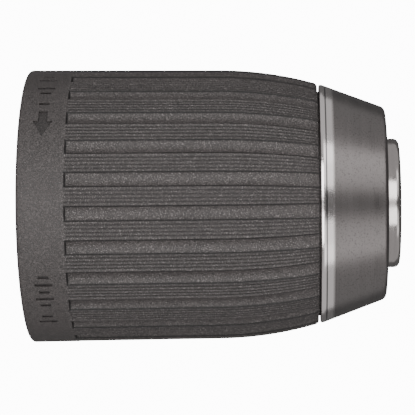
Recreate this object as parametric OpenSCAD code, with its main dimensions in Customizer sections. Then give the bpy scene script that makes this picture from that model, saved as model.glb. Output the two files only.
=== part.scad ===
// Keyless 13 mm drill chuck with a single ratchet-locked grip sleeve.
// The axis is Z, the tail face is at z = 0 and the nose points up. The jaws are drawn fully open.

/* [Overall] */
// Length from the tail face to the nose face
overall_len = 58.2; // [54:0.1:74]
// Largest shank that the jaws take
capacity = 13; // [12:0.1:16]
// Smallest shank that the jaws grip
least_shank = 1.5; // [1.5:0.1:3]

/* [Jaws] */
// Diameter of each round jaw
jaw_d = 7; // [6.6:0.1:8.6]
// Angle between a jaw and the chuck axis
jaw_tilt = 17; // [16:0.5:19]
// Length of the grip face
grip_len = 17; // [15:0.1:18.5]
// Depth of the open jaw tips behind the nose face
tip_recess = 0.5; // [0.2:0.1:1.5]
// Half of the flat land along the grip face
grip_land = 0.55; // [0.3:0.05:0.8]
// Radial gap between a jaw and its guide hole
jaw_fit = 0.05; // [0.02:0.01:0.1]
// Length of jaw thread still in the nut when the jaws are shut
jaw_engagement = 3.6; // [3:0.1:5]

/* [Nut] */
// Axial pitch of the jaw thread
thread_pitch = 1.5; // [1.2:0.05:1.8]
// Depth of the jaw thread
thread_depth = 0.8; // [0.6:0.05:0.9]
// Gap round the meshing thread
thread_gap = 0.13; // [0.1:0.01:0.2]
// Length of the split nut
nut_len = 7.1; // [6:0.1:8]
// Wall of the nut at the root of its thread
nut_wall = 1.2; // [1:0.1:2]
// Distance from the nose face back to the front of the nut
nut_setback = 11.2; // [10.8:0.1:12.5]
// Wall of the band round the nut
band_wall = 0.8; // [0.6:0.1:1.2]
// Height of the drive lugs above the band
lug_height = 1; // [0.8:0.1:1.5]
// Free turn of the sleeve on the nut, in degrees
lock_angle = 25; // [15:1:30]

/* [Thrust bearing] */
// Ball diameter
ball_d = 1.8; // [1.4:0.05:2.2]
// Number of balls
ball_count = 20; // [12:1:24]
// Thickness of each race
race_thickness = 1; // [0.8:0.1:1.4]
// Depth of the ball track in each race
track_depth = 0.2; // [0.1:0.05:0.3]
// Ratchet teeth round the inner race
ratchet_teeth = 30; // [20:1:36]

/* [Body] */
// Wall between a guide hole and the nose surface
nose_wall = 1.39; // [1:0.01:2.5]
// Bore of the tapped hole for the drill spindle
spindle_bore = 11.5; // [9.5:0.1:12.5]
// Depth of the spindle hole
spindle_depth = 17; // [12:0.5:17]
// Bore of the retaining screw's hole
screw_bore = 6.6; // [5:0.1:7.5]
// Thickness of the floor between the spindle hole and the tool bore
bore_floor = 3; // [2:0.1:4]
// Diameter of the tail that the rear cover is pressed on
tail_d = 24; // [20:0.5:26]
// Length of the tail
tail_len = 16; // [14:0.5:17]

/* [Grip sleeve] */
// Sleeve wall at the front edge
sleeve_front_wall = 1; // [0.8:0.01:2]
// Sleeve wall at the rear rim
sleeve_rear_wall = 1.8; // [1.5:0.1:3]
// Length of the curved front part
crown_len = 15.25; // [12:0.1:18]
// Draft of the straight part, in degrees
sleeve_draft = 0.63; // [0.3:0.01:1.2]
// Number of finger flutes
flute_count = 26; // [18:1:28]
// Width of a flute
flute_w = 2.3; // [1.5:0.1:2.6]
// Depth of a flute
flute_depth = 0.6; // [0.4:0.05:0.75]
// Length of the plain band behind the flutes
plain_band = 7.3; // [5:0.1:10]

/* [Front collar] */
// Length of the collar
collar_len = 10.35; // [9.5:0.05:11]
// Half angle of the cone
cone_angle = 20.6; // [18:0.1:22]
// Distance from the nose face back to the collar's front face
collar_recess = 2.15; // [1.5:0.05:3]

/* [Rear cover] */
// Thickness of the rear cover
cover_thickness = 1.2; // [0.8:0.1:1.6]
// Depth of the cover behind the tail face
cover_recess = 0.8; // [0.5:0.1:1.2]

/* [Hidden] */
$fn = 96;
eps = 0.01;
run_gap = 0.1; // running gap between turning pieces

// Jaw layout. A jaw's axis crosses height z at radius jaw_x(z).
jaw_azimuths = [90, 210, 330];
jaw_r = jaw_d / 2;
jaw_side = jaw_r / cos(jaw_tilt); // radial half width of the tilted jaw
open_spare = 0.25; // room around the largest shank
grip_open = capacity / 2 + open_spare;
grip_shut = least_shank / 2;
jaw_travel = (grip_open - grip_shut) / sin(jaw_tilt);
z_nose = overall_len;
z_tip = z_nose - tip_recess;
tip_x = grip_open + jaw_side - grip_len * tan(jaw_tilt);
function jaw_x(z) = tip_x + (z_tip - z) * tan(jaw_tilt);
function jaw_outer(z) = jaw_x(z) + jaw_side;

// Heights, from the nose back to the bearing.
z_collar_front = z_nose - collar_recess;
z_collar_rear = z_collar_front - collar_len;
z_nut_front = z_nose - nut_setback;
z_nut_rear = z_nut_front - nut_len;
z_race_front = z_nut_rear;
z_race_rear = z_race_front - race_thickness;
z_ball = z_race_rear + track_depth - ball_d / 2;
z_inner_front = z_ball - ball_d / 2 + track_depth;
z_inner_rear = z_inner_front - race_thickness;
jaw_len = (z_tip - z_nut_front) / cos(jaw_tilt) + jaw_travel + jaw_engagement;
z_jaw_rear = z_tip - jaw_len * cos(jaw_tilt);
jaw_chamfer = 1.2;
corner_relief = 0.2; // what the rear chamfer takes off a jaw's reach
jaw_corner = jaw_outer(z_jaw_rear) - corner_relief;

// Radii, from the jaws outwards.
nose_r = jaw_outer(z_nose) + jaw_fit + nose_wall;
nose_len = 4.2;
nose_step = 0.84;
front_r = nose_r + nose_step; // body in front of the bearing
race_clearance = 0.2;
race_in_r = jaw_outer(z_inner_rear) + race_clearance;
front_race_in_r = jaw_outer(z_race_rear) + race_clearance;
cage_wall = 0.35;
track_rim = 0.05; // race left on each side of the balls
ball_ring_r = race_in_r + ball_d / 2 + track_rim;
race_out_r = ball_ring_r + ball_d / 2 + track_rim;
cage_in_r = ball_ring_r - ball_d / 2 - cage_wall;
cage_out_r = ball_ring_r + ball_d / 2 + cage_wall;
tooth_height = 0.45;
tooth_tip_r = race_out_r + tooth_height;
skirt_in_r = tooth_tip_r + run_gap;
skirt_wall = 0.45;
skirt_out_r = skirt_in_r + skirt_wall;
guide_wall = 1.25;
main_r = jaw_outer(z_inner_rear) + guide_wall; // body behind the bearing
thrust_len = 3;
thrust_inset = 0.1;
thrust_out_r = tooth_tip_r - thrust_inset;
nut_r = jaw_outer(z_nut_rear) + thread_gap + nut_wall;
band_r = nut_r + band_wall;
lug_r = band_r + lug_height;
lug_half = 5; // half angle of a drive lug
lug_azimuths = [40, 160, 280];
drive_gap = 0.15; // between the nut and the sleeve's insert
pocket_wall = 0.35;
insert_in_r = band_r + drive_gap;
pocket_r = lug_r + drive_gap;
insert_out_r = pocket_r + pocket_wall;

// Sleeve outline: a straight draft, then an arc tangent to it down to the front edge.
z_sleeve_rear = 0.3;
front_gap = 0.25; // open gap between the sleeve and the collar
z_sleeve_front = z_collar_rear - front_gap;
z_crown = z_sleeve_front - crown_len;
sleeve_front_r = insert_out_r + sleeve_front_wall;
jaw_clearance = 0.75;
sleeve_bore_r = jaw_corner + jaw_clearance;
sleeve_rear_r = sleeve_bore_r + sleeve_rear_wall;
crown_r = sleeve_rear_r - (z_crown - z_sleeve_rear) * tan(sleeve_draft);
crown_drop = crown_r - sleeve_front_r;
crown_arc = (crown_drop * crown_drop + crown_len * crown_len)
  / (2 * (crown_drop * cos(sleeve_draft) - crown_len * sin(sleeve_draft)));
crown_cx = crown_r - crown_arc * cos(sleeve_draft);
crown_cz = z_crown - crown_arc * sin(sleeve_draft);
crown_end = asin((z_sleeve_front - crown_cz) / crown_arc);
crown_steps = 8;
rim_fillet = 0.4;
race_bore_r = skirt_out_r + 2 * run_gap;
insert_len = 4.4;
insert_step = 0.7; // from the front race to the insert
z_insert_rear = z_race_front + insert_step;
lip_gap = 0.1;
lip_len = 1.3;
z_cover = cover_recess;
z_lip = z_cover + cover_thickness + lip_gap;

// Ratchet lock. The finger's root is at finger_angle behind its tip, and it swings by pawl_lift.
tooth_pitch = 360 / ratchet_teeth;
pawl_tip = 30;
finger_angle = 32;
pawl_lift = 0.5;
pawl_swing = pawl_lift / (2 * skirt_out_r * sin(finger_angle / 2)) * 180 / PI;
window_gap = 0.15;
skirt_lift = 0.2;
z_skirt = z_inner_rear + skirt_lift;

// Collar
rim_step = 0.18; // the collar's rim is this much smaller than the sleeve's front edge
collar_rim_r = sleeve_front_r - rim_step;
hub_len = 3;

// Nut thread
thread_margin = 0.7; // plain length at each end of the nut
thread_embed = 0.1; // how far a ridge sinks into the nut
thread_root = 1;
thread_crest = 0.4;
thread_steps = 18;
z_thread = z_nut_rear + thread_margin;

module turned(points) {
  rotate_extrude() polygon(points);
}

module ring(inner, outer, low, high) {
  turned([[inner, low], [outer, low], [outer, high], [inner, high]]);
}

// A ring sector from angle a0 to a1.
module sector(inner, outer, low, high, a0, a1) {
  rotate([0, 0, a0]) rotate_extrude(angle = a1 - a0)
    polygon([[inner, low], [outer, low], [outer, high], [inner, high]]);
}

// Moves its children onto a jaw's axis, with their origin at the tip and +Z towards the nose.
module on_jaw_axis(azimuth) {
  rotate([0, 0, azimuth]) translate([tip_x, 0, z_tip]) rotate([0, -jaw_tilt, 0]) children();
}

module guide_holes() {
  past_tip = 20;
  for (a = jaw_azimuths)
    on_jaw_axis(a) translate([0, 0, -jaw_len * 2])
      cylinder(r = jaw_r + jaw_fit, h = jaw_len * 2 + past_tip);
}

module chuck_body() {
  bore_spare = 0.2;
  tool_bore_r = capacity / 2 + bore_spare;
  z_bore = spindle_depth + bore_floor;
  nose_round = 0.9;
  tail_r = tail_d / 2;
  tail_break = 0.5;
  shoulder = 1.5; // chamfer at the rear of the main diameter
  mouth = 1; // chamfer of the spindle hole
  bore_break = 0.6; // chamfer of the tool bore
  color("silver") difference() {
    rotate_extrude() {
      polygon([
        [0, 0], [tail_r - tail_break, 0], [tail_r, tail_break], [tail_r, tail_len],
        [main_r - shoulder, tail_len], [main_r, tail_len + shoulder], [main_r, z_inner_rear],
        [front_r, z_inner_rear], [front_r, z_nose - nose_len], [nose_r, z_nose - nose_len],
        [nose_r, z_nose - nose_round], [nose_r - nose_round, z_nose - nose_round],
        [nose_r - nose_round, z_nose], [0, z_nose]]);
      translate([nose_r - nose_round, z_nose - nose_round]) circle(nose_round);
    }
    translate([0, 0, -1]) cylinder(d = spindle_bore, h = spindle_depth + 1);
    translate([0, 0, -eps]) cylinder(d1 = spindle_bore + 2 * mouth, d2 = spindle_bore, h = mouth);
    cylinder(d = screw_bore, h = z_bore + 1);
    translate([0, 0, z_bore]) cylinder(r = tool_bore_r, h = z_nose);
    translate([0, 0, z_nose - bore_break]) cylinder(r1 = tool_bore_r, r2 = tool_bore_r + bore_break + eps,
      h = bore_break + eps);
    guide_holes();
  }
}

module thrust_ring() {
  z_rear = z_inner_rear - thrust_len;
  edge = 0.3;
  color("dimgray") turned([
    [main_r, z_rear], [thrust_out_r - edge, z_rear], [thrust_out_r, z_rear + edge],
    [thrust_out_r, z_inner_rear], [main_r, z_inner_rear]]);
}

module ball_track() {
  track_gap = 0.03;
  rotate_extrude() translate([ball_ring_r, z_ball]) circle(ball_d / 2 + track_gap);
}

module inner_race() {
  // Each tooth ramps up against the closing turn and drops in a radial step.
  profile = [for (i = [0:ratchet_teeth - 1], top = [0, 1])
    let (a = pawl_tip + i * tooth_pitch, r = top ? tooth_tip_r : race_out_r) [r * cos(a), r * sin(a)]];
  color("slategray") difference() {
    translate([0, 0, z_inner_rear]) linear_extrude(race_thickness) polygon(profile);
    translate([0, 0, z_inner_rear - 1]) cylinder(r = race_in_r, h = race_thickness + 2);
    ball_track();
  }
}

module outer_race() {
  past_tip = 3; // angle of the pawl's window beyond its tip
  color("slategray") difference() {
    union() {
      ring(front_race_in_r, skirt_out_r, z_race_rear, z_race_front);
      ring(skirt_in_r, skirt_out_r, z_skirt, z_race_rear + eps);
    }
    ball_track();
    sector(skirt_in_r - 1, skirt_out_r + 1, z_skirt - 1, z_race_rear + eps,
      pawl_tip - finger_angle, pawl_tip + past_tip);
  }
}

// A springy finger in the window of the outer race, with a hook that drops behind a tooth.
module lock_pawl() {
  root_gap = 0.3; // angle
  tip_gap = 0.25; // angle
  hook_top = skirt_in_r + 0.1;
  hook_foot = race_out_r + 0.12;
  hook_angle = 6;
  foot_angle = 0.6;
  z_high = z_race_rear - window_gap;
  hinge = skirt_out_r * [cos(pawl_tip - finger_angle), sin(pawl_tip - finger_angle), 0];
  hook = [[hook_top, hook_angle], [hook_foot, foot_angle], [hook_foot, tip_gap], [hook_top, tip_gap]];
  color("goldenrod") translate(hinge) rotate([0, 0, -pawl_swing]) translate(-hinge) {
    sector(skirt_in_r, skirt_out_r, z_skirt, z_high,
      pawl_tip - finger_angle + root_gap, pawl_tip - tip_gap);
    translate([0, 0, z_skirt]) linear_extrude(z_inner_front - z_skirt)
      polygon([for (p = hook) p[0] * [cos(pawl_tip - p[1]), sin(pawl_tip - p[1])]]);
  }
}

module ball_cage() {
  cage_len = 1;
  ball_play = 0.1;
  color("tan") difference() {
    ring(cage_in_r, cage_out_r, z_ball - cage_len / 2, z_ball + cage_len / 2);
    for (i = [1:ball_count])
      rotate([0, 0, i * 360 / ball_count]) translate([ball_ring_r, 0, z_ball - cage_len])
        cylinder(d = ball_d + ball_play, h = 2 * cage_len);
  }
}

module ball(i) {
  color("lightgray") rotate([0, 0, i * 360 / ball_count])
    translate([ball_ring_r, 0, z_ball]) sphere(d = ball_d);
}

// A point of the nut's conical ridge at angle a, counted on from turn to turn.
function thread_point(a, z_shift, depth) =
  let (z_mid = z_thread + thread_pitch * a / 360)
  let (r = jaw_outer(z_mid) + thread_gap + thread_embed - depth)
  [r * cos(a), r * sin(a), z_mid + z_shift];

// Half a turn of the ridge, starting at angle a0.
module thread_arc(a0) {
  depth = thread_depth + thread_gap + thread_embed;
  root = thread_root / 2;
  crest = thread_crest / 2;
  section = [[-root, 0], [root, 0], [crest, depth], [-crest, depth]];
  gap = 0.5; // angle left free at each end of the half
  points = [for (k = [0:thread_steps], s = section)
    thread_point(a0 + gap + k * (180 - 2 * gap) / thread_steps, s[0], s[1])];
  sides = [for (k = [0:thread_steps - 1], s = [0:3])
    let (b = k * 4 + s, c = k * 4 + (s + 1) % 4) [b, c, c + 4, b + 4]];
  last = thread_steps * 4;
  polyhedron(points, concat(sides, [[3, 2, 1, 0], [last, last + 1, last + 2, last + 3]]));
}

module nut_half(start) {
  turns = floor((nut_len - 2 * thread_margin) / thread_pitch);
  split = 0.04;
  color("darkgray") difference() {
    union() {
      difference() {
        sector(1, nut_r, z_nut_rear, z_nut_front, start, start + 180);
        translate([0, 0, z_nut_rear - 1])
          cylinder(r1 = jaw_outer(z_nut_rear - 1) + thread_gap,
            r2 = jaw_outer(z_nut_front + 1) + thread_gap, h = nut_len + 2);
      }
      for (n = [0:turns - 1]) thread_arc(start + n * 360);
    }
    for (side = [0, 180]) rotate([0, 0, side]) translate([0, -split, z_nut_rear - 1])
      cube([nut_r + 1, 2 * split, nut_len + 2]);
  }
}

module nut_ring() {
  band_len = 4;
  band_step = 1; // from the nut's rear face
  lug_rear = 0.4;
  lug_front = 0.6;
  lug_sink = 0.2;
  z_band = z_nut_rear + band_step;
  color("gray") union() {
    ring(nut_r, band_r, z_band, z_band + band_len);
    for (a = lug_azimuths)
      sector(band_r - lug_sink, lug_r, z_band + lug_rear, z_band + band_len - lug_front,
        a - lug_half, a + lug_half);
  }
}

// Its pockets carry the nut's lugs round after the sleeve has turned by lock_angle.
module drive_insert() {
  slack = 0.7; // angle
  pocket_end = 0.6; // wall at the front of a pocket
  color("gray") difference() {
    ring(insert_in_r, insert_out_r, z_insert_rear, z_insert_rear + insert_len);
    for (a = lug_azimuths)
      sector(insert_in_r - 1, pocket_r, z_insert_rear - 1, z_insert_rear + insert_len - pocket_end,
        a - lug_half - slack, a + lug_half + lock_angle + slack);
  }
}

// A grooved jaw. Its grooves are copies of the nut's ridge at mid height, set along the jaw's axis.
module jaw(azimuth) {
  plain_share = 0.6; // share of the grip length left without grooves
  z_mid = (z_nut_front + z_nut_rear) / 2;
  turn_at_mid = (z_mid - z_thread) / thread_pitch;
  first = ceil(turn_at_mid - azimuth / 360);
  z_groove = z_thread + (first + azimuth / 360) * thread_pitch;
  fore = floor((z_tip - z_groove - grip_len * plain_share) / thread_pitch);
  aft = floor((z_groove - z_jaw_rear) / thread_pitch);
  lead = atan(thread_pitch / (2 * PI * jaw_outer(z_mid)));
  groove_in = jaw_outer(z_groove) - thread_depth - thread_gap;
  groove_out = jaw_outer(z_groove) + 3;
  half_in = thread_crest / 2 + thread_gap;
  flank = (thread_root - thread_crest) / 2 / (thread_depth + thread_gap + thread_embed);
  half_out = half_in + (groove_out - groove_in) * flank;
  rear_bevel = 1;
  past_tip = 4;
  spare = 20; // cutters reach this far past the jaw
  bevel_angle = 30;
  bevel_out = grip_open + (spare - grip_land) * tan(bevel_angle);
  color("darkslategray") difference() {
    on_jaw_axis(azimuth) translate([0, 0, -jaw_len]) {
      cylinder(r1 = jaw_r - rear_bevel, r2 = jaw_r, h = jaw_chamfer);
      translate([0, 0, jaw_chamfer - eps])
        cylinder(r = jaw_r, h = jaw_len - jaw_chamfer + past_tip + eps);
    }
    // Square tip, grip face and the two bevels beside it
    rotate([0, 0, azimuth]) translate([-spare, -spare, z_tip]) cube([3 * spare, 2 * spare, spare]);
    rotate([0, 0, azimuth]) translate([0, 0, z_jaw_rear - 1]) linear_extrude(jaw_len + 2)
      polygon([[-spare, -spare], [bevel_out, -spare], [grip_open, -grip_land],
        [grip_open, grip_land], [bevel_out, spare], [-spare, spare]]);
    for (n = [-aft:fore])
      rotate([0, 0, azimuth])
        translate([-n * thread_pitch * tan(jaw_tilt), 0, z_groove + n * thread_pitch])
          rotate([lead, 0, 0]) rotate_extrude()
            polygon([[groove_in, -half_in], [groove_out, -half_out],
              [groove_out, half_out], [groove_in, half_in]]);
  }
}

// Points of the curved front part, set in by a depth, up to a last angle.
function crown_points(depth, last) = [for (k = [1:crown_steps])
  let (t = sleeve_draft + k * (last - sleeve_draft) / crown_steps)
  [crown_cx + (crown_arc - depth) * cos(t), crown_cz + (crown_arc - depth) * sin(t)]];

// What is hollow in the sleeve: the rear space with its lip, the bearing and the insert's seat.
module sleeve_hollow() {
  lip_r = sleeve_bore_r - 1.1;
  ramp = 1;
  z_lip_front = z_lip + lip_len;
  z_step = z_inner_rear - 0.8;
  z_seat = z_race_front + 0.4;
  z_insert_front = z_insert_rear + insert_len;
  mouth_r = insert_in_r + 0.2;
  polygon([[-1, z_sleeve_rear - 1], [sleeve_bore_r, z_sleeve_rear - 1], [sleeve_bore_r, z_lip],
    [lip_r, z_lip], [lip_r, z_lip_front], [sleeve_bore_r, z_lip_front + ramp],
    [sleeve_bore_r, z_step - ramp], [race_bore_r, z_step], [race_bore_r, z_seat],
    [insert_out_r, z_seat], [insert_out_r, z_insert_front], [mouth_r, z_insert_front],
    [mouth_r, z_nose], [-1, z_nose]]);
}

// One finger flute, following the outline from the plain band to past the front edge.
module flute() {
  z_start = z_sleeve_rear + plain_band;
  r_start = crown_r + (z_crown - z_start) * tan(sleeve_draft) - flute_depth;
  half = flute_w / 2 / crown_r * 180 / PI;
  past = crown_end + 1;
  rotate([0, 0, -half]) rotate_extrude(angle = 2 * half) polygon(concat(
    [[sleeve_rear_r + 2, z_start], [r_start, z_start], [crown_r - flute_depth, z_crown]],
    crown_points(flute_depth, past), [[sleeve_rear_r + 2, z_sleeve_front + 1]]));
}

module grip_sleeve() {
  // A round pocket that the pawl lifts into. It spans the same angle whatever the skirt's radius.
  pocket_flare = 9.92;
  pawl_pocket_r = skirt_out_r * skirt_out_r / (skirt_out_r + pocket_flare);
  pawl_pocket_depth = 0.75;
  pawl_pocket_turn = pawl_tip - 3;
  z_pocket = z_inner_rear - 0.3;
  spigot_r = insert_out_r - 0.3;
  z_spigot = z_collar_rear - 0.05;
  first_flute = -86.7;
  color("dimgray") difference() {
    rotate_extrude() difference() {
      polygon(concat(
        [[1, z_sleeve_rear], [sleeve_rear_r - rim_fillet, z_sleeve_rear],
          [sleeve_rear_r, z_sleeve_rear + rim_fillet], [crown_r, z_crown]],
        crown_points(0, crown_end),
        [[spigot_r, z_sleeve_front], [spigot_r, z_spigot], [1, z_spigot]]));
      sleeve_hollow();
    }
    for (i = [0:flute_count - 1]) rotate([0, 0, first_flute + i * 360 / flute_count]) flute();
    rotate([0, 0, pawl_pocket_turn])
      translate([skirt_out_r + pawl_pocket_depth - pawl_pocket_r, 0, z_pocket])
        cylinder(r = pawl_pocket_r, h = z_race_front - z_pocket);
  }
}

module front_collar() {
  rim_round = 0.25;
  rim_blend = 1.2; // radius of the blend between the rim and the cone
  groove_place = 0.84; // from the rear edge
  groove_len = 0.16;
  groove_depth = 0.12;
  corner_r = 1;
  arc_steps = 6;
  // The blend's centre, then the cone's line and the centre of the front corner
  z_blend = z_collar_rear + rim_round;
  blend_x = collar_rim_r - rim_blend;
  z_corner = z_collar_front - corner_r;
  corner_x = blend_x + (rim_blend - corner_r) / cos(cone_angle) - (z_corner - z_blend) * tan(cone_angle);
  z_groove = z_collar_rear + groove_place;
  hub_back = 1.55; // from the front face back to the hub's seat on the body
  z_hub = z_collar_front - hub_back - hub_len;
  nut_room = 0.3;
  jaw_room = 0.5;
  nose_gap = 0.45;
  cavity_r = band_r + nut_room;
  throat_r = jaw_outer(z_nut_front) + jaw_room;
  color("silver") difference() {
    turned(concat(
      [[1, z_collar_rear]],
      [for (k = [0:arc_steps]) let (t = -90 + k * 90 / arc_steps)
        [collar_rim_r - rim_round * (1 - cos(t)), z_blend + rim_round * sin(t)]],
      [for (k = [1:arc_steps]) let (t = k * cone_angle / arc_steps)
        [blend_x + rim_blend * cos(t), z_blend + rim_blend * sin(t)]],
      [for (k = [0:arc_steps]) let (t = cone_angle + k * (90 - cone_angle) / arc_steps)
        [corner_x + corner_r * cos(t), z_corner + corner_r * sin(t)]],
      [[1, z_collar_front]]));
    ring(collar_rim_r - groove_depth, collar_rim_r + 1, z_groove, z_groove + groove_len);
    translate([0, 0, z_collar_rear - 1])
      cylinder(r = cavity_r, h = z_nut_front + nut_room - z_collar_rear + 1);
    translate([0, 0, z_collar_rear]) cylinder(r = throat_r, h = z_hub - z_collar_rear);
    translate([0, 0, z_collar_rear]) cylinder(r = front_r, h = z_nose - nose_len - z_collar_rear);
    translate([0, 0, z_collar_rear]) cylinder(r = nose_r + nose_gap, h = collar_len + 1);
  }
}

module rear_cover() {
  cover_r = sleeve_bore_r - 0.08;
  edge = 0.2;
  z_front = z_cover + cover_thickness;
  color("dimgray") turned([
    [tail_d / 2, z_cover], [cover_r - edge, z_cover], [cover_r, z_cover + edge],
    [cover_r, z_front], [tail_d / 2, z_front]]);
}

chuck_body();
thrust_ring();
inner_race();
outer_race();
lock_pawl();
ball_cage();
nut_half(0);  // nut_half_1
nut_half(180);  // nut_half_2
nut_ring();
jaw(jaw_azimuths[0]);  // jaw_1
jaw(jaw_azimuths[1]);  // jaw_2
jaw(jaw_azimuths[2]);  // jaw_3
drive_insert();
grip_sleeve();
front_collar();
rear_cover();
for (i = [1:ball_count])
  ball(i);
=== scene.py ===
import math

import bmesh
import bpy
from mathutils import Matrix, Vector


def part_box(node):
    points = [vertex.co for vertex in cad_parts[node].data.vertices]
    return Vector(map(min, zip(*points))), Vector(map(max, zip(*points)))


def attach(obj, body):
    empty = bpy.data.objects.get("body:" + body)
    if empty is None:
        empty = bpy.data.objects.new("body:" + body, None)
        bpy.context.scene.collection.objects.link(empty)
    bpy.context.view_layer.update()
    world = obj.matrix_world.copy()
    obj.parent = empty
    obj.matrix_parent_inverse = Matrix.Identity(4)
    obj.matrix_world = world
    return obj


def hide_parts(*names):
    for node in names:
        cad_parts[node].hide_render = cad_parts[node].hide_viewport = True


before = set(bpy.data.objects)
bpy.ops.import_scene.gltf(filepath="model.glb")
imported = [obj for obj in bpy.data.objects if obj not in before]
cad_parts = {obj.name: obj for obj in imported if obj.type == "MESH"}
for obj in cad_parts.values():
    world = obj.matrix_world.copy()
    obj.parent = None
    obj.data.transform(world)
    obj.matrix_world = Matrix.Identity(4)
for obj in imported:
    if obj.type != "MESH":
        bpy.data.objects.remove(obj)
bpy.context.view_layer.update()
mm = 0.001
sleeveLow, sleeveHigh = [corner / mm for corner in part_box("grip_sleeve")]
collarLow, collarHigh = [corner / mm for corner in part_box("front_collar")]


class Wire:
    # one number in a node tree, so that sums are written as Python
    def __init__(self, recipe, socket):
        self.recipe = recipe
        self.socket = socket

    def math(self, operation, other):
        node = self.recipe.node("ShaderNodeMath", {"operation": operation}, [self, other])
        return Wire(self.recipe, node.outputs[0])

    def __add__(self, other):
        return self.math("ADD", other)

    __radd__ = __add__

    def __mul__(self, other):
        return self.math("MULTIPLY", other)

    __rmul__ = __mul__

    def __sub__(self, other):
        return self.math("SUBTRACT", other)

    def __rsub__(self, other):
        return (self * -1) + other


class Recipe:
    # a material under construction
    def __init__(self, name):
        self.material = bpy.data.materials.new(name)
        self.material.use_nodes = True
        self.tree = self.material.node_tree
        self.shader = self.tree.nodes["Principled BSDF"]
        self.coords = self.node("ShaderNodeTexCoord", {}, []).outputs["Object"]

    def feed(self, socket, value):
        if isinstance(value, Wire):
            value = value.socket
        if isinstance(value, bpy.types.NodeSocket):
            self.tree.links.new(value, socket)
        else:
            socket.default_value = value

    def node(self, kind, settings, sockets):
        node = self.tree.nodes.new(kind)
        for key, value in settings.items():
            setattr(node, key, value)
        pairs = sockets.items() if isinstance(sockets, dict) else enumerate(sockets)
        for key, value in pairs:
            self.feed(node.inputs[key], value)
        return node

    def scaled(self, x, y, z):
        node = self.node("ShaderNodeMapping", {}, {"Vector": self.coords, "Scale": (x, y, z)})
        return node.outputs[0]

    def noise(self, scale, detail=2.0, rough=0.5, vector=None):
        node = self.node("ShaderNodeTexNoise", {}, {
            "Vector": vector or self.coords, "Scale": scale, "Detail": detail, "Roughness": rough})
        return Wire(self, node.outputs["Fac"])

    def axis(self, name):
        node = self.node("ShaderNodeSeparateXYZ", {}, [self.coords])
        return Wire(self, node.outputs[name])

    def attribute(self, name):
        node = self.node("ShaderNodeAttribute", {"attribute_name": name}, [])
        return Wire(self, node.outputs["Fac"])

    def span(self, value, low, high, outLow=0.0, outHigh=1.0):
        node = self.node("ShaderNodeMapRange", {"interpolation_type": "SMOOTHSTEP"},
                         [value, low, high, outLow, outHigh])
        return Wire(self, node.outputs[0])

    def blend(self, factor, first, second):
        node = self.node("ShaderNodeMix", {"data_type": "RGBA"}, {0: factor, 6: first, 7: second})
        return node.outputs[2]

    def bump(self, height, distance):
        node = self.node("ShaderNodeBump", {}, {"Height": height, "Distance": distance})
        self.feed(self.shader.inputs["Normal"], node.outputs[0])

    def set(self, **values):
        for key, value in values.items():
            self.feed(self.shader.inputs[key.replace("_", " ")], value)


def gray(value, warm=0.0):
    # warm raises the red, and lowers the blue by a fifth as much
    return (value * (1 + warm), value, value * (1 - warm * 0.2), 1.0)


gripLook = {
    "base": 0.040, "warm": 0.16,
    "grain": 4300, "speckle": 6500, "cloud": 160,  # noise scales
    "grainSpan": (0.34, 0.66), "speckleSpan": (0.58, 0.70),
    "bandEnd": (0.0068, 0.0076), "bandSpeckle": 0.35,  # fewer speckles on the plain band up to here
    "dark": 0.38, "light": 1.8, "glint": 5.5, "recessShade": 0.06,  # brightness as shares of the base
    "glintWarm": 0.7,  # warmth of the speckles as a share of the rest
    "cloudShare": 0.3, "grainShare": 0.7, "glintShare": 0.8, "recessShadeShare": 0.97,
    "rough": 0.38, "grainRough": 0.16, "recessShadeRough": 0.3,
    "relief": 0.00005,
}


def mouldedGrip():
    look = gripLook
    base = look["base"]
    warm = look["warm"]
    recipe = Recipe("mouldedGrip")
    grain = recipe.span(recipe.noise(look["grain"], detail=3.0, rough=0.6), *look["grainSpan"])
    # painted glints: bright speckles in the colour stand in for the sparkle of the sleeve's textured
    # surface
    speckle = recipe.span(recipe.noise(look["speckle"], detail=1.0), *look["speckleSpan"])
    speckle = speckle * recipe.span(recipe.axis("Z"), *look["bandEnd"], look["bandSpeckle"], 1.0)
    cloud = recipe.noise(look["cloud"], detail=3.0)
    # painted shade: this attribute darkens the flute edges, rib valleys and cut marks in the colour,
    # standing in for the shade that falls there
    recessShade = recipe.attribute("paintedShade")
    mottle = cloud * look["cloudShare"] + grain * look["grainShare"]
    glint = gray(base * look["glint"], warm * look["glintWarm"])
    color = recipe.blend(mottle, gray(base * look["dark"], warm), gray(base * look["light"], warm))
    color = recipe.blend(speckle * look["glintShare"], color, glint)
    color = recipe.blend(recessShade * look["recessShadeShare"], color, gray(base * look["recessShade"], warm))
    roughness = look["rough"] + grain * look["grainRough"] + recessShade * look["recessShadeRough"]
    recipe.set(Base_Color=color, Roughness=roughness)
    recipe.bump(grain, look["relief"])
    return recipe.material


turning = {
    "warm": 0.09,
    "rings": (60, 60, 5200), "broad": (25, 25, 900),  # noise scales along x, y and z
    "pits": 4200, "pitSpan": (0.52, 0.7),
    "dark": 0.8, "light": 1.2, "pit": 0.35,  # brightness as shares of the base
    "toneRough": 0.25, "pitRough": 0.2, "pitBump": 0.5,
    "relief": 0.00001,
}


def turnedSteel(name, base, rough, lines=0.5, speckle=0.3, tune=None):
    # satin steel with fine turning lines round the chuck axis
    look = turning
    warm = look["warm"]
    recipe = Recipe(name)
    rings = recipe.noise(1.0, detail=4.0, rough=0.7, vector=recipe.scaled(*look["rings"]))
    broad = recipe.noise(1.0, vector=recipe.scaled(*look["broad"]))
    pits = recipe.span(recipe.noise(look["pits"], rough=0.6), *look["pitSpan"])
    tone = rings * 0.5 + broad * 0.5
    color = recipe.blend(tone, gray(base * look["dark"], warm), gray(base * look["light"], warm))
    color = recipe.blend(pits * speckle, color, gray(base * look["pit"], warm))
    roughness = rough + (tone - 0.5) * look["toneRough"] + pits * speckle * look["pitRough"]
    if tune:
        color, roughness = tune(recipe, color, roughness)
    recipe.set(Base_Color=color, Metallic=1.0, Roughness=roughness)
    recipe.bump(rings * lines + pits * speckle * look["pitBump"], look["relief"])
    return recipe.material


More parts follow.
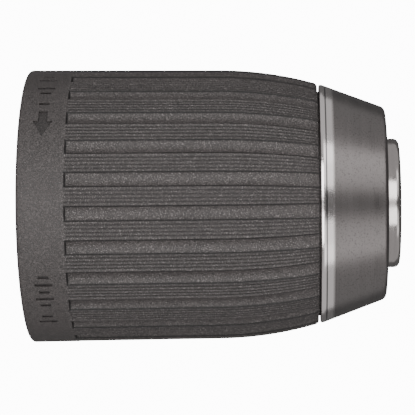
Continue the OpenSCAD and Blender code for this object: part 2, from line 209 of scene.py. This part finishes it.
collarLook = {
    # each pair is where a change starts and where it is complete, in mm over the collar's rear
    "polish": (2.3, 1.7), "grooveRear": (0.78, 0.84), "grooveFront": (1.06, 1.00),
    "bright": gray(0.88, 0.07), "dark": gray(0.08, 0.02),
    "grooveShadeShare": 0.85, "gloss": 0.5,
}


def collarBands(recipe, color, roughness):
    # the rim and the band ahead of it are turned bright, with painted shade darkening the groove between
    # them
    z = recipe.axis("Z")

    def band(key):
        return recipe.span(z, *[(collarLow.z + ahead) * mm for ahead in collarLook[key]])

    bright = band("polish")
    groove = band("grooveRear") * band("grooveFront")
    color = recipe.blend(bright, color, collarLook["bright"])
    # painted shade: the groove is darkened in the colour, standing in for the shade that falls in it
    color = recipe.blend(groove * collarLook["grooveShadeShare"], color, collarLook["dark"])
    return color, roughness * (1 - bright * collarLook["gloss"])


polymer = {"grain": 3800, "dark": 0.85, "light": 1.1, "rough": 0.4, "grainRough": 0.2, "relief": 0.00003}


def castPolymer(name, base, warm):
    look = polymer
    recipe = Recipe(name)
    grain = recipe.noise(look["grain"], detail=3.0, rough=0.6)
    color = recipe.blend(grain, gray(base * look["dark"], warm), gray(base * look["light"], warm))
    recipe.set(Base_Color=color, Roughness=look["rough"] + grain * look["grainRough"])
    recipe.bump(grain, look["relief"])
    return recipe.material


polish = {"smear": 700, "dark": 0.9, "light": 1.05, "smearRough": 0.12, "relief": 0.000004}


def polishedSteel(name, base, rough):
    look = polish
    recipe = Recipe(name)
    smear = recipe.noise(look["smear"], detail=3.0, rough=0.6)
    color = recipe.blend(smear, gray(base * look["dark"]), gray(base * look["light"]))
    recipe.set(Base_Color=color, Metallic=1.0, Roughness=rough + smear * look["smearRough"])
    recipe.bump(smear, look["relief"])
    return recipe.material


def paint(node, material):
    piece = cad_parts[node]
    piece.data.materials.clear()
    piece.data.materials.append(material)


def paintNodes():
    body = turnedSteel("bodySteel", base=0.50, rough=0.20, speckle=0.12)
    collar = turnedSteel("collarSteel", base=0.22, rough=0.30, lines=0.8, speckle=0.5, tune=collarBands)
    jaw = turnedSteel("jawSteel", base=0.20, rough=0.40, speckle=0.4)
    nut = turnedSteel("nutSteel", base=0.30, rough=0.45, speckle=0.4)
    race = polishedSteel("bearingSteel", base=0.60, rough=0.16)
    ball = polishedSteel("ballSteel", base=0.75, rough=0.05)
    spring = polishedSteel("springSteel", base=0.35, rough=0.25)
    cage = castPolymer("cagePolymer", base=0.42, warm=0.25)
    cover = turnedSteel("coverSteel", base=0.22, rough=0.42)
    looks = {
        "chuck_body": body, "front_collar": collar, "rear_cover": cover, "ball_cage": cage,
        "lock_pawl": spring, "thrust_ring": race, "inner_race": race, "outer_race": race,
        "nut_half_1": nut, "nut_half_2": nut, "nut_ring": nut, "drive_insert": nut,
        "jaw_1": jaw, "jaw_2": jaw, "jaw_3": jaw,
    }
    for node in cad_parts:
        paint(node, looks.get(node, ball))


grip = {
    # the sleeve's outside, in mm and degrees
    "groups": 26, "columns": 40,  # flutes round the sleeve, and columns of faces for each
    "firstFlute": -86.7,  # azimuth of one flute
    "fluteHalf": 1.17, "fluteDepth": 0.48,  # half width, and depth of the hollow floor
    "fluteStep": 0.12, "stepRun": 0.1,  # the sharp edge of a flute, and the width that it falls over
    "ribs": 5, "ribPitch": 1.55, "ribDepth": 0.17,  # the pitch is an angle
    "start": 7.3, "startRamp": 0.25,  # where the flutes begin, from the rear, and how gradually
    "fadeFrom": 36.0, "fadeEnd": 45.0, "fadeTo": 0.62,  # they get shallower between these heights
    "draft": 0.63,
    "crown": 15.25,  # length of the curved front part
    "rim": 0.5, "nose": 0.4,  # corner radii at the rear and the front
    "proud": 0.18, "gap": 0.25,  # the front edge, out from the collar's radius and back from its rear
    "bandRows": (2.0, 4.5, 6.6),  # heights of the rows of vertices on the plain rear band
    "cornerRows": 4, "startRows": 4, "bodyRows": 8, "crownRows": 14,
    "bodyFrom": 0.4,  # the body's rows are spaced from this far past the flutes' start
    "sharp": 38,  # edges that turn more than this stay sharp
}


def smooth(value, low, high):
    t = min(1.0, max(0.0, (value - low) / (high - low)))
    return t * t * (3 - 2 * t)


def flutePlace(turn, radius):
    # mm from the middle of the nearest flute, and rib pitches from the middle of the nearest ribs
    pitch = 360 / grip["groups"]
    u = (turn - grip["firstFlute"] + pitch / 2) % pitch - pitch / 2
    return math.radians(abs(u)) * radius, (pitch / 2 - abs(u)) / grip["ribPitch"]


def onRibs(land):
    return land < (grip["ribs"] - 1) / 2


def ribValley(land):
    return 0.5 - 0.5 * math.cos(2 * math.pi * land)


def gripDepth(turn, z, radius):
    # how far the surface is cut in, in mm, at an azimuth in degrees and a height
    across, land = flutePlace(turn, radius)
    depth = 0.0
    if across < grip["fluteHalf"]:
        hollow = grip["fluteDepth"] * (1 - (across / grip["fluteHalf"]) ** 2)
        depth = hollow + grip["fluteStep"] * min(1.0, (grip["fluteHalf"] - across) / grip["stepRun"])
    if onRibs(land):
        depth = grip["ribDepth"] * ribValley(land)
    begin = sleeveLow.z + grip["start"]
    half = grip["startRamp"] / 2
    fade = 1 - (1 - grip["fadeTo"]) * smooth(z, grip["fadeFrom"], grip["fadeEnd"])
    return depth * smooth(z, begin - half, begin + half) * fade


paintedShade = {
    # painted shade: the dark lines in the sleeve's corners, where shade falls, in mm
    "half": 0.13, "edgeIn": 0.08, "endIn": 0.05,
    "behind": 0.15,  # none further back than this from the flutes' start
    "valley": 0.65,  # how dark the painted shade in the valleys between the ribs is
    "radius": 20.2,  # the sleeve's outside begins here once the flutes are cut
}


def gripShade(turn, z, radius):
    # 0 to 1, how much painted shade a place gets for lying in a corner
    across, land = flutePlace(turn, radius)
    ahead = z - sleeveLow.z - grip["start"]
    if ahead < -paintedShade["behind"]:
        return 0.0
    dark = math.exp(-((across - grip["fluteHalf"] + paintedShade["edgeIn"]) / paintedShade["half"]) ** 2)
    if across < grip["fluteHalf"]:
        dark = max(dark, math.exp(-((ahead - paintedShade["endIn"]) / paintedShade["half"]) ** 2))
    if ahead > 0 and onRibs(land):
        dark = max(dark, paintedShade["valley"] * ribValley(land) ** 2)
    return dark


bore = {
    # how far the sleeve's inner surfaces lie inside its front radius, in mm
    "spigot": 1.3, "spigotWall": 0.8, "mouth": 1.0, "seat": 0.29,
    # and inside its rear radius
    "wall": 1.8, "lip": 2.9,
    # how far the shoulder lies behind the front edge, and the other steps' heights
    "shoulder": 0.1, "seatFront": 40.3, "seatRear": 35.7,
    "wallFront": 34.7, "wallRear": 4.4, "lipFront": 3.4, "lipRear": 2.1,
}


def gripOutline():
    # radius and height, in mm, round the closed section of the wall
    rearR = sleeveHigh.x
    rear = sleeveLow.z
    edge = collarLow.z - grip["gap"]
    crown = edge - grip["crown"]
    draft = math.radians(grip["draft"])

    def tapered(z):
        return (rearR - (z - rear) * math.tan(draft), z)

    # the arc of the crown carries on from the taper and ends at the front edge
    crownR = tapered(crown)[0]
    frontR = collarHigh.x + grip["proud"]
    drop = crownR - frontR
    reach = grip["crown"]
    arc = (drop ** 2 + reach ** 2) / (2 * (drop * math.cos(draft) - reach * math.sin(draft)))
    last = math.asin((edge - crown + arc * math.sin(draft)) / arc)
    stop = last - grip["nose"] / arc
    centerR = crownR - arc * math.cos(draft)
    centerZ = crown - arc * math.sin(draft)

    points = []
    corner = grip["cornerRows"]
    for k in range(corner + 1):  # rear rim
        a = math.radians(90 * k / corner - 90)
        points.append((rearR - grip["rim"] * (1 - math.cos(a)), rear + grip["rim"] * (1 + math.sin(a))))
    for z in grip["bandRows"]:
        points.append(tapered(z))
    begin = rear + grip["start"]
    for k in range(2 * grip["startRows"] + 1):  # close rows where the flutes begin
        points.append(tapered(begin + (k / grip["startRows"] - 1) * grip["startRamp"]))
    for k in range(1, grip["bodyRows"] + 1):
        along = k / grip["bodyRows"] * (crown - begin - grip["bodyFrom"])
        points.append(tapered(begin + grip["bodyFrom"] + along))
    for k in range(1, grip["crownRows"] + 1):
        t = draft + (stop - draft) * k / grip["crownRows"]
        points.append((centerR + arc * math.cos(t), centerZ + arc * math.sin(t)))
    for k in range(1, corner + 1):  # front edge
        a = math.radians(90 * k / corner)
        points.append((frontR - grip["nose"] * (1 - math.cos(a)), edge - grip["nose"] * (1 - math.sin(a))))

    # the inside, from the front to the rear
    spigotR = frontR - bore["spigot"]
    tubeR = spigotR - bore["spigotWall"]
    mouthR = frontR - bore["mouth"]
    seatR = frontR - bore["seat"]
    wallR = rearR - bore["wall"]
    lipR = rearR - bore["lip"]
    shoulder = edge - bore["shoulder"]
    points += [
        (spigotR, edge), (spigotR, sleeveHigh.z), (tubeR, sleeveHigh.z), (tubeR, shoulder),
        (mouthR, shoulder), (mouthR, bore["seatFront"]),
        (seatR, bore["seatFront"]), (seatR, bore["seatRear"]),
        (wallR, bore["wallFront"]), (wallR, bore["wallRear"]),
        (lipR, bore["lipFront"]), (lipR, bore["lipRear"]),
        (wallR, bore["lipRear"]), (wallR, rear),
    ]
    return points


def sharpen(bm, degrees):
    for edge in bm.edges:
        edge.smooth = len(edge.link_faces) == 2 and edge.calc_face_angle(0.0) < math.radians(degrees)
    for face in bm.faces:
        face.smooth = True


def asObject(bm, name):
    mesh = bpy.data.meshes.new(name)
    bm.to_mesh(mesh)
    bm.free()
    piece = bpy.data.objects.new(name, mesh)
    bpy.context.collection.objects.link(piece)
    return piece


weld = 1e-7  # vertices nearer than this are merged, in metres


def revolve(points, steps):
    bm = bmesh.new()
    ring = [bm.verts.new((r * mm, 0, z * mm)) for r, z in points]
    for a, b in zip(ring, ring[1:] + ring[:1]):
        bm.edges.new((a, b))
    bmesh.ops.spin(bm, geom=bm.verts[:] + bm.edges[:], axis=(0, 0, 1), cent=(0, 0, 0),
                   angle=2 * math.pi, steps=steps, use_merge=True)
    bmesh.ops.remove_doubles(bm, verts=bm.verts[:], dist=weld)
    bmesh.ops.recalc_face_normals(bm, faces=bm.faces[:])
    return bm


marks = {
    # places round the band are in degrees from -Y towards -X, and the rest is in mm
    "z": 4.05,
    # half widths of the shaft and the head
    "arrow": {"tail": 41.7, "neck": 36.5, "tip": 29.0, "shaft": 0.68, "head": 1.5},
    # half a bar's width in degrees, and half its height, short and tall by turns
    "bars": {"starts": (46.0, -30.0), "count": 8, "step": 3.6, "half": 0.65, "tall": (0.8, 1.35)},
    "inset": 0.045,  # the band's face at the marks, inside the sleeve's radius
    "depth": 0.30, "above": 0.5,  # how far the cutters reach under and over that face
    "paintedShade": 0.45, "shadeRows": (1, 7), "shadeUnder": 0.2,  # painted shade in the cut marks: how dark, at which heights, how deep
}


def slab(bm, outline):
    # a plate one unit thick, whose outline is in degrees of azimuth and mm of height
    flat = [bm.verts.new((a, z, 0.0)) for a, z in outline]
    faces = bmesh.ops.triangulate(bm, faces=[bm.faces.new(flat)])["faces"]
    grown = bmesh.ops.extrude_face_region(bm, geom=faces)
    tops = [v for v in grown["geom"] if isinstance(v, bmesh.types.BMVert)]
    bmesh.ops.translate(bm, verts=tops, vec=(0, 0, 1))


def markCutters():
    # the turning arrow and the plain bars on the rear band, as solids to cut away
    bm = bmesh.new()
    z = marks["z"]

    def facing(theta):
        return -90.0 - theta

    arrow = marks["arrow"]
    tail, neck, tip = [facing(arrow[key]) for key in ("tail", "neck", "tip")]
    slab(bm, [
        (tail, z - arrow["shaft"]), (neck, z - arrow["shaft"]), (neck, z - arrow["head"]), (tip, z),
        (neck, z + arrow["head"]), (neck, z + arrow["shaft"]), (tail, z + arrow["shaft"])])
    bars = marks["bars"]
    half = bars["half"]
    for start in bars["starts"]:
        step = math.copysign(bars["step"], start)
        for k in range(bars["count"]):
            a = facing(start + k * step)
            tall = bars["tall"][k % 2]
            slab(bm, [
                (a - half, z - tall), (a + half, z - tall), (a + half, z + tall), (a - half, z + tall)])
    # wrapped round the band, from under its face to over it
    face = sleeveHigh.x - marks["inset"]
    for vert in bm.verts:
        a = math.radians(vert.co.x)
        r = face + marks["above"] if vert.co.z > 0.5 else face - marks["depth"]
        vert.co = Vector((r * math.cos(a), r * math.sin(a), vert.co.y)) * mm
    bmesh.ops.recalc_face_normals(bm, faces=bm.faces[:])
    return asObject(bm, "markCutters")


def cutMarks(piece):
    cutters = markCutters()
    cut = piece.modifiers.new("marks", "BOOLEAN")
    cut.object = cutters
    cut.operation = "DIFFERENCE"
    cut.solver = "EXACT"
    done = bpy.data.meshes.new_from_object(piece.evaluated_get(bpy.context.evaluated_depsgraph_get()))
    piece.modifiers.clear()
    piece.data = done
    bpy.data.objects.remove(cutters)


skin = {
    # a vertex is on the sleeve's outside if it lies beyond one of these radii or heights, in mm
    "rearRadius": 20.3, "frontRadius": 19.2, "frontFrom": 36.5, "allFrom": 41.5,
    "inner": 0.75,  # but not further than this inside the collar's radius
    "back": 0.3,  # nor nearer than this to the collar's rear
}


def onSkin(radius, z):
    if radius <= collarHigh.x - skin["inner"] or z >= collarLow.z - skin["back"]:
        return False
    front = radius > skin["frontRadius"] and z > skin["frontFrom"]
    return radius > skin["rearRadius"] or z > skin["allFrom"] or front


# painted shade: marks the sleeve's corners and the insides of the cut marks, which are darkened in the
# colour
def addPaintedShade(mesh):
    low, high = marks["shadeRows"]
    layer = mesh.attributes.new("paintedShade", "FLOAT", "POINT")
    for vert, mark in zip(mesh.vertices, layer.data):
        x, y, z = vert.co / mm
        radius = math.hypot(x, y)
        outside = radius > paintedShade["radius"] or z > skin["frontFrom"]
        if outside and radius > collarHigh.x - skin["inner"]:
            mark.value = gripShade(math.degrees(math.atan2(y, x)), z, radius)
        # painted shade inside the cut marks
        if low < z < high and skin["rearRadius"] < radius < sleeveHigh.x - marks["shadeUnder"]:
            mark.value = marks["paintedShade"]


def buildGrip():
    bm = revolve(gripOutline(), grip["groups"] * grip["columns"])
    for vert in bm.verts:
        radius = math.hypot(vert.co.x, vert.co.y) / mm
        z = vert.co.z / mm
        if onSkin(radius, z):
            turn = math.degrees(math.atan2(vert.co.y, vert.co.x))
            scale = 1 - gripDepth(turn, z, radius) / radius
            vert.co.x *= scale
            vert.co.y *= scale
    sharpen(bm, grip["sharp"])
    piece = asObject(bm, "gripSleeve")
    cutMarks(piece)
    addPaintedShade(piece.data)
    piece.data.materials.clear()
    piece.data.materials.append(mouldedGrip())
    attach(piece, "sleeve")
    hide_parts("grip_sleeve")


studio = {
    "floorY": 0.45, "floorHalf": 0.16, "floorTone": 0.9, "floorRough": 0.9,
    "world": 0.12, "backdrop": 12.0,  # what lights the chuck, and what shows behind it
    "lowerShare": 0.85,  # brightness of the lower strip and end, against the upper ones
}

softboxes = {
    # theta is in degrees, glow is the brightness of the face, and the rest is in metres
    "Box": {"theta": 0, "away": 0.6, "z": 0.02, "aim": 0.029, "size": (0.22, 0.14), "glow": 0.9},
    "Strip": {"theta": 23, "away": 0.5, "z": 0.0, "aim": 0.0, "size": (0.50, 0.28), "glow": 4.6},
    "End": {"theta": 43, "away": 0.46, "z": 0.42, "aim": 0.029, "size": (0.34, 0.42), "glow": 1.25},
    "Card": {"theta": 88, "away": 0.5, "z": 0.2, "aim": 0.2, "size": (1.0, 0.9), "glow": 0.36},
}


def buildFloor():
    bm = bmesh.new()
    bmesh.ops.create_grid(bm, x_segments=8, y_segments=8, size=studio["floorHalf"])
    turn = Matrix.Rotation(math.radians(90), 4, "X")
    bmesh.ops.transform(bm, matrix=turn, verts=bm.verts[:])
    bmesh.ops.translate(bm, verts=bm.verts[:], vec=(0, studio["floorY"], 0))
    floor = asObject(bm, "floor")
    recipe = Recipe("paleFloor")
    recipe.set(Base_Color=gray(studio["floorTone"]), Roughness=studio["floorRough"],
               Emission_Color=gray(1), Emission_Strength=studio["backdrop"])
    floor.data.materials.append(recipe.material)
    floor.visible_glossy = False


def softbox(side, kind, sign=1, share=1):
    # theta goes round the chuck axis from -Y towards -X, and the box faces a point on the axis
    box = softboxes[kind]
    width, height = box["size"]
    light = bpy.data.lights.new(side + kind, "AREA")
    light.shape = "RECTANGLE"
    light.size = width
    light.size_y = height
    light.energy = box["glow"] * share * math.pi * width * height
    a = math.radians(box["theta"] * sign)
    place = Vector((-box["away"] * math.sin(a), -box["away"] * math.cos(a), box["z"]))
    ahead = (Vector((0, 0, box["aim"])) - place).normalized()
    along = (Vector((0, 0, 1)) - ahead * ahead.z).normalized()
    turn = Matrix((along, along.cross(ahead), -ahead)).transposed()
    holder = bpy.data.objects.new(side + kind, light)
    holder.matrix_world = Matrix.Translation(place) @ turn.to_4x4()
    bpy.context.collection.objects.link(holder)


def buildLights():
    softbox("front", "Box")
    for side, sign, share in (("upper", 1, 1), ("lower", -1, studio["lowerShare"])):
        softbox(side, "Strip", sign, share)
        softbox(side, "End", sign, share)
        softbox(side, "Card", sign)


def buildWorld():
    # dim for everything but the camera, which sees a bright backdrop
    world = bpy.data.worlds.new("studio")
    world.use_nodes = True
    tree = world.node_tree
    dim = tree.nodes["Background"]
    dim.inputs[0].default_value = gray(1)
    dim.inputs[1].default_value = studio["world"]
    pale = tree.nodes.new("ShaderNodeBackground")
    pale.inputs[1].default_value = studio["backdrop"]
    pick = tree.nodes.new("ShaderNodeMixShader")
    tree.links.new(tree.nodes.new("ShaderNodeLightPath").outputs["Is Camera Ray"], pick.inputs[0])
    tree.links.new(dim.outputs[0], pick.inputs[1])
    tree.links.new(pale.outputs[0], pick.inputs[2])
    tree.links.new(pick.outputs[0], tree.nodes["World Output"].inputs[0])
    bpy.context.scene.world = world


view = {
    "place": (0.00045, -0.320, 0.0416), "yaw": 2.43, "roll": 0.53,  # in metres and degrees
    "lens": 175.4, "sensor": 36, "near": 0.01,  # in mm, and the nearest that it sees in metres
}


def buildCamera():
    yaw = math.radians(view["yaw"])
    roll = math.radians(view["roll"])
    ahead = Vector((0, math.cos(yaw), -math.sin(yaw)))
    level = Vector((0, math.sin(yaw), math.cos(yaw)))
    above = Vector((-1, 0, 0))
    right = level * math.cos(roll) - above * math.sin(roll)
    up = above * math.cos(roll) + level * math.sin(roll)
    lens = bpy.data.cameras.new("camera")
    lens.lens = view["lens"]
    lens.sensor_width = view["sensor"]
    lens.clip_start = view["near"]
    camera = bpy.data.objects.new("camera", lens)
    turn = Matrix((right, up, -ahead)).transposed().to_4x4()
    camera.matrix_world = Matrix.Translation(view["place"]) @ turn
    bpy.context.collection.objects.link(camera)
    bpy.context.scene.camera = camera


print("frame loaded", sleeveLow, sleeveHigh, collarLow, collarHigh)
buildCamera()
buildFloor()
buildLights()
buildWorld()
print("stage done")
paintNodes()
print("steel parts painted")
buildGrip()
print("grip sleeve done")
